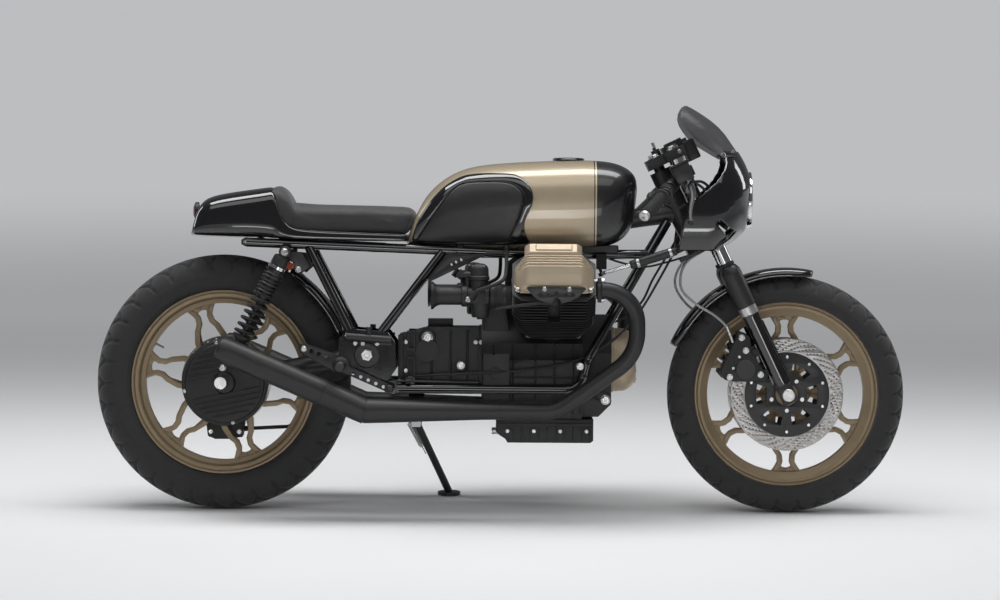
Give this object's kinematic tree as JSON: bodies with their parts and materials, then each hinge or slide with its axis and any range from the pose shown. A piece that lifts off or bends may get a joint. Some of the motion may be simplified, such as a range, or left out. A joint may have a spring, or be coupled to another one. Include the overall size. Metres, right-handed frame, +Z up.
{
  "type": "cafe racer motorcycle",
  "caption": "Cafe racer motorcycle with a transverse V-twin, shaft drive, bikini fairing, humped solo seat, cast wishbone-spoke wheels and a side stand that holds it leaning.",
  "frame": {"origin": "on the floor under the middle of the parked motorcycle's box", "axes": "+X to the front, +Y to the rider's left, +Z up"},
  "size_m": [2.162, 0.6667, 1.0825],
  "materials": {
    "black_alloy": "matte coated",
    "bronze_wheel": "matte metallic",
    "champagne_paint": "semi-gloss metallic",
    "chrome": "polished",
    "exhaust_black": "matte",
    "gloss_black": "gloss",
    "red_lens": "gloss",
    "rubber": "matte",
    "satin_black": "satin",
    "seat_fabric": "woven",
    "smoked_screen": "clear",
    "steel": "brushed",
    "tyre": "matte"
  },
  "bodies": {
    "chassis": {"frame_spine": "gloss_black", "upper_frame_rails": "gloss_black", "frame_diagonals": "gloss_black", "lower_cradle": "gloss_black", "crankcase": "black_alloy", "gearbox": "black_alloy", "sump_pan": "black_alloy", "alternator_cover": "champagne_paint", "cylinders": "black_alloy", "rocker_covers": "champagne_paint", "carburettors": "black_alloy", "exhausts": "exhaust_black", "swingarm": "gloss_black", "final_drive": "black_alloy", "rear_axle": "steel", "rear_shocks": "satin_black", "rear_mudguard": "satin_black", "rear_caliper": "black_alloy", "fuel_tank": "champagne_paint", "fuel_cap": "satin_black", "seat_pad": "seat_fabric", "tail_cowl": "gloss_black", "rearsets": "satin_black"},
    "steering": {"steering_yokes": "satin_black", "fork_tubes": "chrome", "fork_legs": "black_alloy", "front_axle": "steel", "front_mudguard": "gloss_black", "front_calipers": "black_alloy", "clip_ons": "steel", "hand_grips": "rubber", "hand_controls": "satin_black", "instruments": "satin_black", "headlamp": "steel", "fairing": "gloss_black", "windscreen": "smoked_screen"},
    "front_wheel": {"front_tyre": "tyre", "front_rim": "bronze_wheel", "front_discs": "steel"},
    "rear_wheel": {"rear_tyre": "tyre", "rear_rim": "bronze_wheel", "rear_disc": "steel"},
    "side_stand": {"side_stand": "satin_black"},
    "damper_rod": {"damper_rod": "steel"},
    "damper_cylinder": {"damper_cylinder": "steel"}
  },
  "joints": [
    {"name": "steering_turn", "type": "hinge", "parent": "chassis", "child": "steering", "pos_m": [0.47778, 0.00087, 0.79777], "axis": [-0.4305, 0.0849, 0.8986], "range_deg": [-30, 30]},
    {"name": "front_wheel_spin", "type": "hinge", "parent": "steering", "child": "front_wheel", "pos_m": [0.764, -0.04467, 0.31599], "axis": [0, 0.9956, -0.0941], "continuous": true},
    {"name": "rear_wheel_spin", "type": "hinge", "parent": "chassis", "child": "rear_wheel", "pos_m": [-0.741, -0.0425, 0.33889], "axis": [0, 0.9956, -0.0941], "continuous": true},
    {"name": "side_stand_fold", "type": "hinge", "parent": "chassis", "child": "side_stand", "pos_m": [-0.2285, 0.08416, 0.21241], "axis": [0, 0.9641, 0.2654], "range_deg": [0, 94]},
    {"name": "damper_swing", "type": "hinge", "parent": "chassis", "child": "damper_rod", "pos_m": [0.2675, -0.11619, 0.64318], "axis": [-0.4305, 0.0849, 0.8986], "range_deg": [-8, 8]},
    {"name": "damper_slide", "type": "slide", "parent": "damper_rod", "child": "damper_cylinder", "axis": [0.9538, 0.0511, 0.296], "range_m": [-0.05, 0.05]}
  ],
  "couplings": [
    {"joint": "damper_swing", "follows": "steering_turn", "ratio": -0.24},
    {"joint": "damper_slide", "follows": "steering_turn", "m_per_rad": 0.088}
  ]
}
